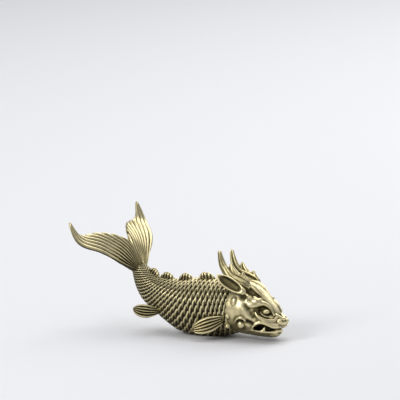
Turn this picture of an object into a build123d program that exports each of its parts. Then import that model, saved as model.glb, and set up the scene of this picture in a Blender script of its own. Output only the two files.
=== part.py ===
from build123d import *
import os
from math import copysign, cos, pi, radians, sin

os.makedirs("parts", exist_ok=True)

# Driving sizes of the carp body, in millimetres and degrees
# The frame has +X to the head, +Y to the fish's left, +Z up, and its origin in the middle of the flat belly
body_height = 14.0
body_width = 12.6
neck_height = 12.4
neck_width = 11.8
neck_reach = 7.7
neck_rise = 0.8
neck_sway = 0.36
tail_root_reach = 17.9
tail_root_rise = 8.3
tail_root_sway = 2.16
tail_root_pitch = 58.0
belly_flat_depth = 0.35

# Turns of the head and the tail away from the body's own line
head_turn = 12.0
head_tilt = 6.0
tail_turn = 18.0
tail_tilt = 3.0

# Clearance of every brazed joint, and how far cuts run past what they cut
fit_gap = 0.05
cut_overrun = 2.0

# Head and jaw
head_length = 12.8
jaw_length = 11.7
neck_spigot_diameter = 5.0
neck_spigot_length = 2.0
jaw_peg_diameter = 1.6
jaw_peg_length = 1.4
eye_diameter = 2.0
eye_seat_depth = 0.7
lid_base_diameter = 3.9
lid_top_diameter = 2.6
lid_height = 1.3
lid_rise = 0.35
raised_work_diameter = 1.9
nostril_diameter = 1.8
cheek_ball_diameter = 1.5
fang_diameter = 0.8
fang_length = 1.2
fang_tip_diameter = 0.2

# Antlers and ears
antler_root_diameter = 1.9
antler_root_depth = 1.1
antler_root_standoff = 0.9
antler_beam_diameter = 2.4
ear_length = 7.6
ear_width = 3.1
ear_thickness = 1.1
ear_root_diameter = 1.5
ear_root_depth = 1.1
ear_root_standoff = 0.9

# Paired fins
pectoral_length = 7.3
pectoral_width = 4.1
pelvic_length = 6.2
pelvic_width = 3.5
fin_thickness = 1.1
fin_root_depth = 1.0
fin_root_standoff = 0.5

# Dorsal crests
crest_length = 4.2
crest_height = 1.6
crest_thickness = 1.3
crest_root_depth = 0.8

# Tail lobes
tail_reach = 10.4
tail_height = 12.5
tail_half_span = 13.9
tail_lobe_width = 7.2
tail_lobe_thickness = 1.5
tail_peg_diameter = 1.0
tail_peg_length = 1.6

# Counts
oval_side_count = 28
groove_count = 5
fin_ray_count = 4
tail_ray_count = 6
crest_ray_count = 4

# Body stations, evenly spaced along its middle line: ahead of the belly as shares of the neck's reach,
# sway and rise, and behind it as shares of the tail root's, each with shares of body height and width
front_station_shares = [(0.590, 0.14, 0.44, 0.964, 0.992), (0.178, 0.00, 0.06, 0.996, 1.003)]
rear_station_shares = [
    (0.100, 0.000, 0.004, 0.986, 0.992),
    (0.277, 0.010, 0.039, 0.926, 0.944),
    (0.447, 0.100, 0.133, 0.786, 0.810),
    (0.615, 0.255, 0.259, 0.643, 0.643),
    (0.777, 0.463, 0.416, 0.529, 0.492),
    (0.902, 0.718, 0.681, 0.407, 0.373),
    (1.000, 1.000, 1.000, 0.270, 0.270),
]

# What sits on the body is placed by section number, counted from the neck
pectoral_section = 1.24
pectoral_drop_angle = -27.0
pelvic_section = 11.4
pelvic_drop_angle = -44.0
crest_sections = [4.8, 9.0, 12.3, 15.5]
crest_size_shares = [1.0, 0.92, 0.9, 0.8]

# Head sections from the neck on: shares of head length, then top, bottom and half width of half the neck,
# then how full the section is, round at 1 and boxier below that
head_section_shares = [
    (0.000, 1.00, -1.00, 1.00, 1.00),
    (0.234, 1.03, -1.02, 0.99, 0.92),
    (0.469, 0.79, -1.02, 0.91, 0.90),
    (0.664, 0.45, -1.02, 0.75, 0.88),
    (0.820, 0.09, -1.02, 0.60, 0.84),
    (0.922, -0.20, -1.00, 0.50, 0.80),
    (0.992, -0.31, -0.95, 0.40, 0.80),
]
parting_share = -0.77

# Head features on one side: shares of head length, half neck width and half neck height
eye_place_shares = (0.761, 0.575, -0.045)
eye_aim_shares = (0.35, 0.92, 0.12)
nostril_place_shares = (0.992, 0.29, -0.39)
cheek_ball_shares = (0.302, 0.87, -0.58)
brow_place_shares = [
    (0.43, 0.80, 0.37, 0.55),
    (0.55, 0.75, 0.24, 1.20),
    (0.65, 0.67, 0.28, 0.95),
    (0.73, 0.57, 0.30, 0.66),
    (0.82, 0.45, 0.17, 0.42),
]
ridge_place_shares = [
    (0.840, 0.31, 0.10, 0.36),
    (0.656, 0.37, 0.51, 0.52),
    (0.510, 0.41, 0.76, 0.80),
    (0.330, 0.43, 0.89, 1.00),
]
lip_place_shares = [
    (0.59, 0.77, -0.44, 0.35),
    (0.64, 0.76, -0.38, 0.42),
    (0.73, 0.69, -0.44, 0.42),
    (0.83, 0.59, -0.53, 0.42),
    (0.95, 0.42, -0.60, 0.38),
]
mouth_profile_shares = [
    (0.555, -0.77),
    (0.585, -0.58),
    (0.63, -0.475),
    (0.73, -0.505),
    (0.84, -0.59),
    (0.95, -0.645),
    (1.12, -0.62),
    (1.12, -0.77),
]
mouth_core_shares = (0.80, 0.32)
fang_place_shares = (0.70, 0.47)
jaw_peg_place_shares = (0.30, 0.40)

# Antler line and tines: shares of head length, half neck width and height, then of the beam's diameter
antler_root_place_shares = (0.315, 0.43, 0.945)
antler_root_aim_shares = (-0.45, 0.06, 0.89)
antler_beam_shares = [
    (0.140, 0.450, 1.26, 1.00),
    (0.020, 0.465, 1.28, 1.05),
    (-0.115, 0.480, 1.38, 0.92),
    (-0.215, 0.490, 1.70, 0.65),
    (-0.250, 0.500, 2.14, 0.27),
]
antler_tine_shares = [
    [(0.010, 0.46, 1.28, 0.78), (0.000, 0.46, 1.50, 0.60), (-0.010, 0.46, 1.75, 0.25)],
    [(0.185, 0.44, 1.26, 0.70), (0.205, 0.44, 1.35, 0.55), (0.235, 0.43, 1.48, 0.25)],
]

# Ear: root place and aim on the head, then its tip from the root, and its sections along that line
ear_root_place_shares = (0.344, 0.73, 0.61)
ear_root_aim_shares = (-0.25, 0.72, 0.65)
ear_tip_aim_shares = (-0.88, 0.14, 0.46)
ear_across_shares = (0.42, 0.10, 0.60)
ear_section_shares = [(0.0, 0.42, 1.0), (0.30, 1.0, 1.0), (0.66, 0.78, 0.8), (1.0, 0.14, 0.4)]
ear_outline_shares = [
    (-1.00, 0.1),
    (-0.82, 1.0),
    (-0.50, 0.2),
    (0.00, -0.1),
    (0.50, 0.2),
    (0.82, 1.0),
    (1.00, 0.1),
    (0.55, -1.0),
    (-0.55, -1.0),
]

# Paired fins: aim of the tip from the root as back, out and up, and the blade's sections along that line
pectoral_tip_shares = (0.88, 0.38, -0.13)
pelvic_tip_shares = (0.81, 0.58, 0.05)
fin_across_shares = (0.25, -0.35, 0.90)
fin_section_shares = [(0.0, 0.56, 1.1), (0.36, 1.0, 1.0), (0.72, 0.88, 0.8), (1.0, 0.36, 0.45)]
fin_root_width_share = 0.5

# Tail lobe: middle line as shares of reach, height and half span, direction from outer to inner edge as back,
# up and inward, then shares of lobe width and thickness
tail_lobe_shares = [
    (0.00, 0.000, 0.070, 0.00, 0.00, 1.00, 0.220, 1.90),
    (0.21, 0.375, 0.215, 0.14, 0.50, 0.85, 0.740, 1.10),
    (0.54, 0.560, 0.586, 0.58, 0.46, 0.68, 1.000, 0.85),
    (0.77, 0.612, 0.863, 0.32, 0.24, 0.91, 0.570, 0.75),
    (0.91, 0.820, 0.968, 0.30, 0.20, 0.93, 0.260, 0.60),
    (1.00, 1.000, 1.000, 0.30, 0.20, 0.93, 0.100, 0.40),
]
ray_depth_share = 0.30
fin_bow_share = 0.30
antler_groove_share = 0.16
raised_groove_share = 0.06
edge_thickness_share = 0.45

# Latitudes of a bead's sections
bead_angles = [-65.0, -35.0, 0.0, 35.0, 65.0]

# Weights of the near and far neighbours of a row that is put between two others
near_share = 9 / 16
far_share = 1 / 16

# Values worked out from the sizes above
axis_height = body_height / 2 - belly_flat_depth
sides = {"left": 1, "right": -1}
standing = (Align.CENTER, Align.CENTER, Align.MIN)
seated_below = (Align.CENTER, Align.CENTER, Align.MAX)
up = Vector(0, 0, 1)
head_forward = Vector(cos(radians(head_turn)), -sin(radians(head_turn)), 0)
tail_backward = Vector(-cos(radians(tail_turn)), sin(radians(tail_turn)), 0)
tail_root_aim = tail_backward * cos(radians(tail_root_pitch)) + up * sin(radians(tail_root_pitch))


def oval_sketch(plane, width, height, fullness=1):
    """A closed oval of short flats on a plane, an ellipse at fullness 1 and boxier below that."""
    turns = [pi * (2 * step + 1) / oval_side_count for step in range(oval_side_count)]
    reaches = [copysign(abs(cos(turn)) ** fullness, cos(turn)) for turn in turns]
    rises = [copysign(abs(sin(turn)) ** fullness, sin(turn)) for turn in turns]
    points = [(width / 2 * reach, height / 2 * rise) for reach, rise in zip(reaches, rises)]
    with BuildSketch(plane) as oval:
        with BuildLine():
            Polyline(*points, close=True)
        make_face()
    return oval.sketch


def smoothed(rows):
    """A table with a row put between each two of its rows, on the curve through their neighbours."""
    finer = []
    for number, (row, after) in enumerate(zip(rows, rows[1:])):
        before = rows[max(number - 1, 0)]
        beyond = rows[min(number + 2, len(rows) - 1)]
        columns = zip(before, row, after, beyond)
        finer += [row, [near_share * (b + c) - far_share * (a + d) for a, b, c, d in columns]]
    return [*finer, rows[-1]]


def line_aims(points, first_aim=None, last_aim=None):
    """The direction of a line at each of its points, from the neighbours of the point."""
    aims = [after - before for before, after in zip(points, points[2:])]
    first = first_aim or points[1] - points[0]
    last = last_aim or points[-1] - points[-2]
    return [aim.normalized() for aim in (first, *aims, last)]


def grooved_sections(places, groove_share):
    """Sections square to a line given as places and diameters, round but for grooves along it."""
    rows = smoothed([(*point, diameter) for point, diameter in places])
    points = [Vector(*row[:3]) for row in rows]
    sections = []
    for row, point, aim in zip(rows, points, line_aims(points)):
        outline = []
        for step in range(2 * groove_count):
            reach = row[3] / 2 * (1 - groove_share * (step % 2))
            turn = pi * step / groove_count
            outline.append((reach * cos(turn), reach * sin(turn)))
        with BuildSketch(square_plane(point, aim, aim.cross(up))) as section:
            with BuildLine():
                Polyline(*outline, close=True)
            make_face()
        sections.append(section.sketch)
    return sections


def rayed_section(plane, width, thickness, ray_count):
    """A lens-shaped blade section whose two faces rise and fall as rays, thin at both edges."""
    face = []
    for step in range(2 * ray_count + 1):
        place = step / ray_count - 1
        crown = 1 - (1 - edge_thickness_share) * place**2
        groove = ray_depth_share * (step % 2)
        face.append((place * width / 2, (crown - groove) * thickness / 2))
    back = [(across, -rise) for across, rise in reversed(face)]
    with BuildSketch(plane) as section:
        with BuildLine():
            Polyline(*face, *back, close=True)
        make_face()
    return section.sketch


def square_plane(origin, along, across):
    """A plane square to a line, with its X axis along the part of a direction that is square to that line."""
    flat = across - along * (across.dot(along) / along.dot(along))
    return Plane(origin=origin, x_dir=flat, z_dir=along)


# Spine of the body, from the neck to the tail root, and the plane and size of each of its sections
neck_point = Vector(neck_reach, -neck_sway, axis_height + neck_rise)
station_rows = [(*neck_point, neck_width, neck_height)]
for reach, sway, rise, tall, wide in front_station_shares:
    place = (neck_reach * reach, -neck_sway * sway, axis_height + neck_rise * rise)
    station_rows.append((*place, body_width * wide, body_height * tall))
for reach, sway, rise, tall, wide in rear_station_shares:
    place = (-tail_root_reach * reach, tail_root_sway * sway, axis_height + tail_root_rise * rise)
    station_rows.append((*place, body_width * wide, body_height * tall))
section_rows = smoothed(station_rows)
spine_points = [Vector(*row[:3]) for row in section_rows]
section_sizes = [row[3:] for row in section_rows]
section_planes = []
for point, backward in zip(spine_points, line_aims(spine_points, head_forward * -1, tail_root_aim)):
    section_planes.append(Plane(origin=point, x_dir=up.cross(backward), z_dir=backward))

# Local frames of the head (forward, left, up) and of the tail (backward, right, up)
head_frame = Plane(origin=neck_point, x_dir=head_forward, z_dir=up).rotated((-head_tilt, 0, 0))
tail_seat = spine_points[-1] + tail_root_aim * fit_gap
tail_frame = Plane(origin=tail_seat, x_dir=tail_backward, z_dir=up).rotated((tail_tilt, 0, 0))


def head_point(shares, side=1):
    """A point of the head from its shares of head length, half neck width and half neck height."""
    forward_share, side_share, up_share = shares[:3]
    reach = head_length * forward_share
    return head_frame.from_local_coords(
        Vector(reach, side * neck_width / 2 * side_share, neck_height / 2 * up_share)
    )


def head_aim(shares, side=1):
    """A direction on the head from its forward, outward and upward shares."""
    forward_share, side_share, up_share = shares
    outward = head_frame.y_dir * (side * side_share)
    return head_frame.x_dir * forward_share + outward + head_frame.z_dir * up_share


def tail_point(shares, side):
    """A point of a tail lobe from its shares of tail reach, height and half span."""
    back, rise, out = shares
    return tail_frame.from_local_coords(
        Vector(tail_reach * back, -side * tail_half_span * out, tail_height * rise)
    )


def body_place(number):
    """Middle, backward direction, width and height of the body at or between its numbered sections."""
    before = int(number)
    after = min(before + 1, len(spine_points) - 1)
    share = number - before
    row = [one + (two - one) * share for one, two in zip(section_rows[before], section_rows[after])]
    backward = section_planes[before].z_dir * (1 - share) + section_planes[after].z_dir * share
    return Vector(*row[:3]), backward.normalized(), *row[3:]


def fin_root_plane(middle, backward, width, height, drop_angle, side):
    """Root plane of a paired fin at an angle below the body's middle: X up the flank, Z out of it."""
    left = backward.cross(up).normalized()
    rise = left.cross(backward)
    turn = radians(drop_angle)
    place = middle + left * (side * width / 2 * cos(turn)) + rise * (height / 2 * sin(turn))
    outward = left * (side * height * cos(turn)) + rise * (width * sin(turn))
    return square_plane(place, outward.normalized(), rise)


def fin_blade(root, length, width, tip_aim, across):
    """Rayed sections of a fin along a curve that leaves its root plane squarely and bends towards the tip."""
    start = root.origin + root.z_dir * fin_root_standoff
    sections = []
    for along_share, width_share, thickness_share in smoothed(fin_section_shares):
        bend = tip_aim * along_share + root.z_dir * (along_share * (1 - along_share) * fin_bow_share)
        aim = root.z_dir * (1 - along_share) + tip_aim * (1 + along_share)
        plane = square_plane(start + bend * length, aim, across)
        size = (width * width_share, fin_thickness * thickness_share)
        sections.append(rayed_section(plane, *size, fin_ray_count))
    return sections


fin_specs = {
    "pectoral": (pectoral_section, pectoral_drop_angle, pectoral_length, pectoral_width, pectoral_tip_shares),
    "pelvic": (pelvic_section, pelvic_drop_angle, pelvic_length, pelvic_width, pelvic_tip_shares),
}
fin_roots = {}
for fin, (number, drop_angle, length, width, tip_shares) in fin_specs.items():
    place = body_place(number)
    backward = place[1]
    for side_name, side in sides.items():
        root = fin_root_plane(*place, drop_angle, side)
        out = backward.cross(up) * side
        tip_aim = backward * tip_shares[0] + out * tip_shares[1] + up * tip_shares[2]
        forward_share, out_share, up_share = fin_across_shares
        across = backward * -forward_share + out * out_share + up * up_share
        fin_roots[f"{side_name}_{fin}_fin"] = (root, length, width, tip_aim, across)

# Planes of the dorsal crests: X forward along the back, Z out of the back
crest_planes = []
for number, size_share in zip(crest_sections, crest_size_shares):
    middle, backward, width, height = body_place(number)
    rise = backward.cross(up).cross(backward).normalized()
    crest_plane = Plane(origin=middle + rise * (height / 2), x_dir=backward * -1, z_dir=rise)
    crest_planes.append((crest_plane, size_share))

# Pegs of the tail lobes, in the end face of the body
tail_end = section_planes[-1]
tail_peg_offset = section_sizes[-1][0] / 4

# Carp body: ovals lofted along the spine, a flat belly, a neck spigot and the sockets of what is brazed to it
with BuildPart() as body:
    body_sections = [oval_sketch(plane, *size) for plane, size in zip(section_planes, section_sizes)]
    loft(body_sections, ruled=True)
    split(bisect_by=Plane.XY, keep=Keep.TOP)
    with BuildSketch(section_planes[0].offset(neck_spigot_length)):
        Circle(neck_spigot_diameter / 2)
    extrude(amount=-2 * neck_spigot_length)
    for root, length, width, tip_aim, across in fin_roots.values():
        with BuildSketch(root.offset(-fin_root_depth - fit_gap)):
            Rectangle(width * fin_root_width_share + 2 * fit_gap, fin_thickness + 2 * fit_gap)
    extrude(amount=fin_root_depth + cut_overrun, mode=Mode.SUBTRACT)
    for plane, size_share in crest_planes:
        with BuildSketch(plane.offset(-crest_root_depth - fit_gap)):
            socket_length = crest_length * size_share + 2 * fit_gap
            Rectangle(socket_length, crest_thickness * size_share + 2 * fit_gap)
    extrude(amount=crest_root_depth + cut_overrun, mode=Mode.SUBTRACT)
    with BuildSketch(tail_end):
        with Locations((tail_peg_offset, 0), (-tail_peg_offset, 0)):
            Circle(tail_peg_diameter / 2 + fit_gap)
    extrude(amount=-tail_peg_length - fit_gap, mode=Mode.SUBTRACT)
body.part.label = "body"
export_step(body.part, "parts/body.step")

# Whole head form, from the neck oval to the end of the snout, cut into skull and jaw further down
head_sections = [oval_sketch(section_planes[0], neck_width, neck_height)]
for along_share, top_share, bottom_share, half_share, fullness_share in smoothed(head_section_shares)[1:]:
    middle = head_point((along_share, 0, (top_share + bottom_share) / 2))
    section_plane = Plane(origin=middle, x_dir=head_frame.y_dir * -1, z_dir=head_frame.x_dir * -1)
    section_height = neck_height / 2 * (top_share - bottom_share)
    head_sections.append(oval_sketch(section_plane, neck_width * half_share, section_height, fullness_share))
with BuildPart() as head_form:
    loft(head_sections, ruled=True)

parting = Plane(origin=head_point((0, 0, parting_share)), x_dir=head_frame.x_dir, z_dir=head_frame.z_dir)
head_side = Plane(origin=neck_point, x_dir=head_frame.x_dir, z_dir=head_frame.y_dir * -1)
jaw_front = Plane(origin=neck_point + head_frame.x_dir * jaw_length, z_dir=head_frame.x_dir)
jaw_peg_reach = head_length * jaw_peg_place_shares[0]
jaw_peg_side = neck_width / 2 * jaw_peg_place_shares[1]
jaw_peg_places = [(jaw_peg_reach, side * jaw_peg_side) for side in sides.values()]

# Open mouth seen from the side, less the core that stands between its two sides
mouth_points = [(head_length * forward, neck_height / 2 * rise) for forward, rise in mouth_profile_shares]
mouth_core_length = head_length * mouth_core_shares[0]
mouth_core_width = neck_width * mouth_core_shares[1]
with BuildPart() as mouth:
    with BuildSketch(head_side):
        with BuildLine():
            Polyline(*mouth_points, close=True)
        make_face()
    extrude(amount=neck_width, both=True)
    with BuildSketch(parting.offset(-cut_overrun)):
        Rectangle(mouth_core_length, mouth_core_width, align=(Align.MIN, Align.CENTER))
    extrude(amount=neck_height, mode=Mode.SUBTRACT)

# Roots of the antlers and ears on the skull
antler_roots = {}
ear_roots = {}
for side_name, side in sides.items():
    aim = head_aim(antler_root_aim_shares, side)
    antler_roots[side_name] = square_plane(head_point(antler_root_place_shares, side), aim, head_frame.y_dir)
    aim = head_aim(ear_root_aim_shares, side)
    ear_roots[side_name] = square_plane(head_point(ear_root_place_shares, side), aim, head_frame.x_dir)


def feature_sections(table, side):
    """Sections along a raised line of the head, from its rows of places and diameter shares."""
    places = [(head_point(row, side), row[3] * raised_work_diameter) for row in table]
    return grooved_sections(places, raised_groove_share)


def bead_sections(shares, side, diameter):
    """Sections of a round bead on the head, stacked along its outward line."""
    places = []
    for angle in bead_angles:
        along = head_frame.y_dir * (side * diameter / 2 * sin(radians(angle)))
        places.append((head_point(shares, side) + along, diameter * cos(radians(angle))))
    return grooved_sections(places, 0)


def lid_plane(side):
    """The plane of an eye's lid ring, facing out of the head."""
    return square_plane(head_point(eye_place_shares, side), head_aim(eye_aim_shares, side), head_frame.x_dir)


# Raised work of the skull: brows, snout ridges, lips, nostrils, cheek balls and lids
with BuildPart() as skull_relief:
    for side in sides.values():
        for table in (brow_place_shares, ridge_place_shares, lip_place_shares):
            loft(feature_sections(table, side), ruled=True)
        loft(bead_sections(nostril_place_shares, side, nostril_diameter), ruled=True)
        loft(bead_sections(cheek_ball_shares, side, cheek_ball_diameter), ruled=True)
    with Locations(*[lid_plane(side).offset(lid_rise) for side in sides.values()]):
        Cone(lid_base_diameter / 2, lid_top_diameter / 2, lid_height, align=seated_below)

# Skull: the head above the parting with its raised work, and sockets for everything that it holds
with BuildPart() as skull:
    add(head_form.part)
    split(bisect_by=parting, keep=Keep.TOP)
    add(mouth.part, mode=Mode.SUBTRACT)
    add(skull_relief.part)
    with Locations(*[lid_plane(side).offset(-eye_seat_depth - fit_gap) for side in sides.values()]):
        Cylinder(eye_diameter / 2 + fit_gap, eye_seat_depth + cut_overrun, align=standing, mode=Mode.SUBTRACT)
    for root in antler_roots.values():
        with BuildSketch(root.offset(-antler_root_depth - fit_gap)):
            Circle(antler_root_diameter / 2 + fit_gap)
    extrude(amount=antler_root_depth + cut_overrun, mode=Mode.SUBTRACT)
    for root in ear_roots.values():
        with BuildSketch(root.offset(-ear_root_depth - fit_gap)):
            Circle(ear_root_diameter / 2 + fit_gap)
    extrude(amount=ear_root_depth + cut_overrun, mode=Mode.SUBTRACT)
    with BuildSketch(section_planes[0]):
        Circle(neck_spigot_diameter / 2 + fit_gap)
    extrude(amount=-neck_spigot_length - fit_gap, mode=Mode.SUBTRACT)
    with BuildSketch(parting):
        with Locations(*jaw_peg_places):
            Circle(jaw_peg_diameter / 2 + fit_gap)
    extrude(amount=jaw_peg_length + fit_gap, mode=Mode.SUBTRACT)
    split(bisect_by=parting, keep=Keep.TOP)
    split(bisect_by=section_planes[0], keep=Keep.BOTTOM)
skull.part.label = "skull"
export_step(skull.part, "parts/skull.step")

# Lower jaw: the head below the parting, cut back behind the snout, with pegs and two fangs
with BuildPart() as lower_jaw:
    add(head_form.part)
    split(bisect_by=parting, keep=Keep.BOTTOM)
    split(bisect_by=jaw_front, keep=Keep.BOTTOM)
    with BuildSketch(parting):
        with Locations(*jaw_peg_places):
            Circle(jaw_peg_diameter / 2)
    extrude(amount=jaw_peg_length)
    for side in sides.values():
        fang_root = head_point((*fang_place_shares, parting_share), side)
        fang_rows = [
            (fang_root - head_frame.z_dir * fang_diameter, fang_diameter),
            (fang_root, fang_diameter),
            (fang_root + head_frame.z_dir * fang_length, fang_tip_diameter),
        ]
        loft(grooved_sections(fang_rows, 0), ruled=True)
lower_jaw.part.label = "lower_jaw"
export_step(lower_jaw.part, "parts/lower_jaw.step")

# Eyes: domed beads with a straight seat, let into the lids
for side_name, side in sides.items():
    with BuildPart() as eye:
        with Locations(lid_plane(side)):
            Sphere(eye_diameter / 2, arc_size1=0, align=standing)
            Cylinder(eye_diameter / 2, eye_seat_depth, align=seated_below)
    eye.part.label = f"{side_name}_eye"
    export_step(eye.part, f"parts/{side_name}_eye.step")

# Antlers: a straight root in the skull, a beam swept back and up, and two tines
for side_name, side in sides.items():
    root = antler_roots[side_name]
    beam_start = root.origin + root.z_dir * antler_root_standoff
    beam_places = [(beam_start, antler_root_diameter)]
    beam_places += [(head_point(row, side), row[3] * antler_beam_diameter) for row in antler_beam_shares]
    with BuildPart() as antler:
        with BuildSketch(root.offset(-antler_root_depth)):
            Circle(antler_root_diameter / 2)
        extrude(amount=antler_root_depth + antler_root_standoff)
        loft(grooved_sections(beam_places, antler_groove_share), ruled=True)
        for tine in antler_tine_shares:
            tine_places = [(head_point(row, side), row[3] * antler_beam_diameter) for row in tine]
            loft(grooved_sections(tine_places, antler_groove_share), ruled=True)
    antler.part.label = f"{side_name}_antler"
    export_step(antler.part, f"parts/{side_name}_antler.step")

# Ears: a round root in the skull and a pointed leaf swept back, hollowed between its two rims
for side_name, side in sides.items():
    root = ear_roots[side_name]
    leaf_start = root.origin + root.z_dir * ear_root_standoff
    tip_aim = head_aim(ear_tip_aim_shares, side)
    across = head_aim(ear_across_shares, side)
    leaf_sections = []
    for along_share, width_share, thickness_share in smoothed(ear_section_shares):
        leaf_plane = square_plane(leaf_start + tip_aim * (ear_length * along_share), tip_aim, across)
        half_width = ear_width * width_share / 2
        half_thickness = side * ear_thickness * thickness_share / 2
        outline = [(half_width * wide, half_thickness * out) for wide, out in ear_outline_shares]
        with BuildSketch(leaf_plane) as leaf:
            with BuildLine():
                Polyline(*outline, close=True)
            make_face()
        leaf_sections.append(leaf.sketch)
    with BuildPart() as ear:
        with BuildSketch(root.offset(-ear_root_depth)):
            Circle(ear_root_diameter / 2)
        extrude(amount=ear_root_depth + ear_root_standoff + ear_thickness / 2)
        loft(leaf_sections, ruled=True)
    ear.part.label = f"{side_name}_ear"
    export_step(ear.part, f"parts/{side_name}_ear.step")

# Paired fins: a square root in the flank and a rayed leaf swept back
for fin_name, (root, length, width, tip_aim, across) in fin_roots.items():
    with BuildPart() as fin:
        with BuildSketch(root.offset(-fin_root_depth)):
            Rectangle(width * fin_root_width_share, fin_thickness)
        extrude(amount=fin_root_depth + fin_root_standoff)
        loft(fin_blade(root, length, width, tip_aim, across), ruled=True)
    fin.part.label = fin_name
    export_step(fin.part, f"parts/{fin_name}.step")

# Dorsal crests: a corrugated plate cut to a scallop, its root let into the back
for number, (plane, size_share) in enumerate(crest_planes, start=1):
    length = crest_length * size_share
    rise = crest_height * size_share
    with BuildPart() as crest:
        with BuildSketch(Plane(origin=plane.origin, x_dir=plane.x_dir, z_dir=plane.y_dir)):
            with BuildLine():
                ThreePointArc((-length / 2, 0), (0, -rise), (length / 2, 0))
                Line((length / 2, 0), (length / 2, crest_root_depth))
                Line((length / 2, crest_root_depth), (-length / 2, crest_root_depth))
                Line((-length / 2, crest_root_depth), (-length / 2, 0))
            make_face()
        extrude(amount=crest_thickness * size_share / 2, both=True)
        ray_section = rayed_section(
            plane.offset(-crest_root_depth), length, crest_thickness * size_share, crest_ray_count
        )
        extrude(ray_section, amount=crest_root_depth + rise, mode=Mode.INTERSECT)
    crest.part.label = f"dorsal_crest_{number}"
    export_step(crest.part, f"parts/dorsal_crest_{number}.step")

# Tail lobes: rayed blades that rise from the tail root, spread and curl up to a point
for side_name, side in sides.items():
    lobe_rows = smoothed(tail_lobe_shares)
    lobe_points = [tail_point(row[:3], side) for row in lobe_rows]
    lobe_sections = []
    for row, point, aim in zip(lobe_rows, lobe_points, line_aims(lobe_points, tail_root_aim)):
        inward = tail_frame.x_dir * row[3] + tail_frame.z_dir * row[4] + tail_frame.y_dir * (side * row[5])
        lobe_plane = square_plane(point, aim, inward)
        lobe_size = (tail_lobe_width * row[6], tail_lobe_thickness * row[7])
        lobe_sections.append(rayed_section(lobe_plane, *lobe_size, tail_ray_count))
    with BuildPart() as lobe:
        loft(lobe_sections, ruled=True)
        with BuildSketch(tail_end):
            with Locations((side * -tail_peg_offset, 0)):
                Circle(tail_peg_diameter / 2)
        extrude(amount=tail_peg_length, both=True)
    lobe.part.label = f"{side_name}_tail_lobe"
    export_step(lobe.part, f"parts/{side_name}_tail_lobe.step")
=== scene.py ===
import bpy
import numpy as np
from bpy.props import FloatProperty, FloatVectorProperty, IntProperty, PointerProperty
from bpy.types import Operator, Panel, PropertyGroup
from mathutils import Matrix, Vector


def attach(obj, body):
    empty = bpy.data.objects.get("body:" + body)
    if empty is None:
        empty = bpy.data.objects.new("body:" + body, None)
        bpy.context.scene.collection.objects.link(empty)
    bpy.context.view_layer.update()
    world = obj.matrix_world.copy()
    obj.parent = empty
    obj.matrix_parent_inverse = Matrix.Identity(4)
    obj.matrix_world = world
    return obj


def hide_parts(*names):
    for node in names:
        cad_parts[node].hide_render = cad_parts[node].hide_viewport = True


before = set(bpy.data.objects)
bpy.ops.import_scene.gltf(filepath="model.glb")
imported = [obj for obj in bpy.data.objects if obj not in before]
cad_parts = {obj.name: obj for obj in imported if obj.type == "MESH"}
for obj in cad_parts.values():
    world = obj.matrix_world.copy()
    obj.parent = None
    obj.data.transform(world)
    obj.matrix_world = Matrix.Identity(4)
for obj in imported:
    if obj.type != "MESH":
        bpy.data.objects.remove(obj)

bl_info = {
    "name": "Dragon Carp Figurine",
    "version": (1, 0, 0),
    "blender": (4, 5, 0),
    "location": "View3D > Sidebar > Carp",
    "description": "Cast brass carp with a dragon's head, built over its solid model",
    "category": "Add Mesh",
}

# Shapes are worked out in millimetres, in the frame of the solids, and scaled when they become meshes
MILLIMETRE = 0.001
UP = np.array([0.0, 0.0, 1.0])
SIDES = {"left": 1, "right": -1}

# Spine of the body from the neck to the tail root: place, width and height
BODY_STATIONS = [
    (7.7, -0.36, 7.45, 11.8, 12.4), (4.54, -0.05, 7.0, 12.5, 13.5), (1.37, 0.0, 6.7, 12.64, 13.94),
    (-1.79, 0.0, 6.68, 12.5, 13.8), (-4.96, 0.02, 6.97, 11.89, 12.96),
    (-8.0, 0.22, 7.75, 10.21, 11.0), (-11.01, 0.55, 8.8, 8.1, 9.0), (-13.91, 1.0, 10.1, 6.2, 7.41),
    (-16.15, 1.55, 12.3, 4.7, 5.7), (-17.9, 2.16, 14.95, 3.4, 3.78),
]
# Where the body ends under the skull
BODY_FRONT = (9.10, -0.66, 7.55, 10.60, 11.20)

# Scales: unevenness of their lift, place and width of their rim, slope past a free edge, reach of the shine
SCALE_UNEVENNESS = 0.14
SCALE_RIM = (0.22, 0.30)
SCALE_SLOPE = (-0.16, 0.06)
SCALE_SHINE = (0.20, 0.95)
# Relief of the scales: in the gaps, more with the girth, along free edges, and the gain of their upper halves
# as a painted highlight
SCALE_RELIEF = (0.02, 0.14, 0.72, 1.9)

# Head: where it starts, its turn and roll, and its sections as reach, top, bottom, half width and fullness
NECK = np.array([7.70, -0.36, 7.45])
HEAD_TURN = np.radians(12.0)
HEAD_ROLL = np.radians(6.0)
HEAD_SECTIONS = [
    (-1.2, 5.7, -5.7, 5.4, 0.98), (0.1, 6.2, -6.2, 5.9, 0.96), (3.0, 6.35, -6.4, 5.84, 0.92),
    (6.0, 4.85, -6.55, 5.37, 0.9), (8.5, 2.7, -6.6, 4.43, 0.88), (10.5, 0.5, -6.58, 3.54, 0.84),
    (11.8, -1.3, -6.4, 2.95, 0.8), (12.7, -1.95, -5.89, 2.36, 0.8),
]
CROWN_ROUNDING = 0.20
JAW_REACH = 11.7
PARTING_HEIGHT = -4.77
CHEEK_OVERLAP = 0.95

# Edge of the open mouth, as reach and height, and the half width and reach of the core behind it
MOUTH_EDGE = [(6.8, -4.77), (7.4, -4.1), (8.2, -3.4), (9.3, -3.2), (10.7, -3.6), (12.2, -4.1), (14.0, -3.9)]
MOUTH_CORE = (10.4, 2.1)
# Reaches along the lips, and the half width of the mouth at each
MOUTH_LIPS = ((7.6, 9.7, 11.5, 12.8), (4.65, 3.95, 3.0, 0.8))

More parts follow.
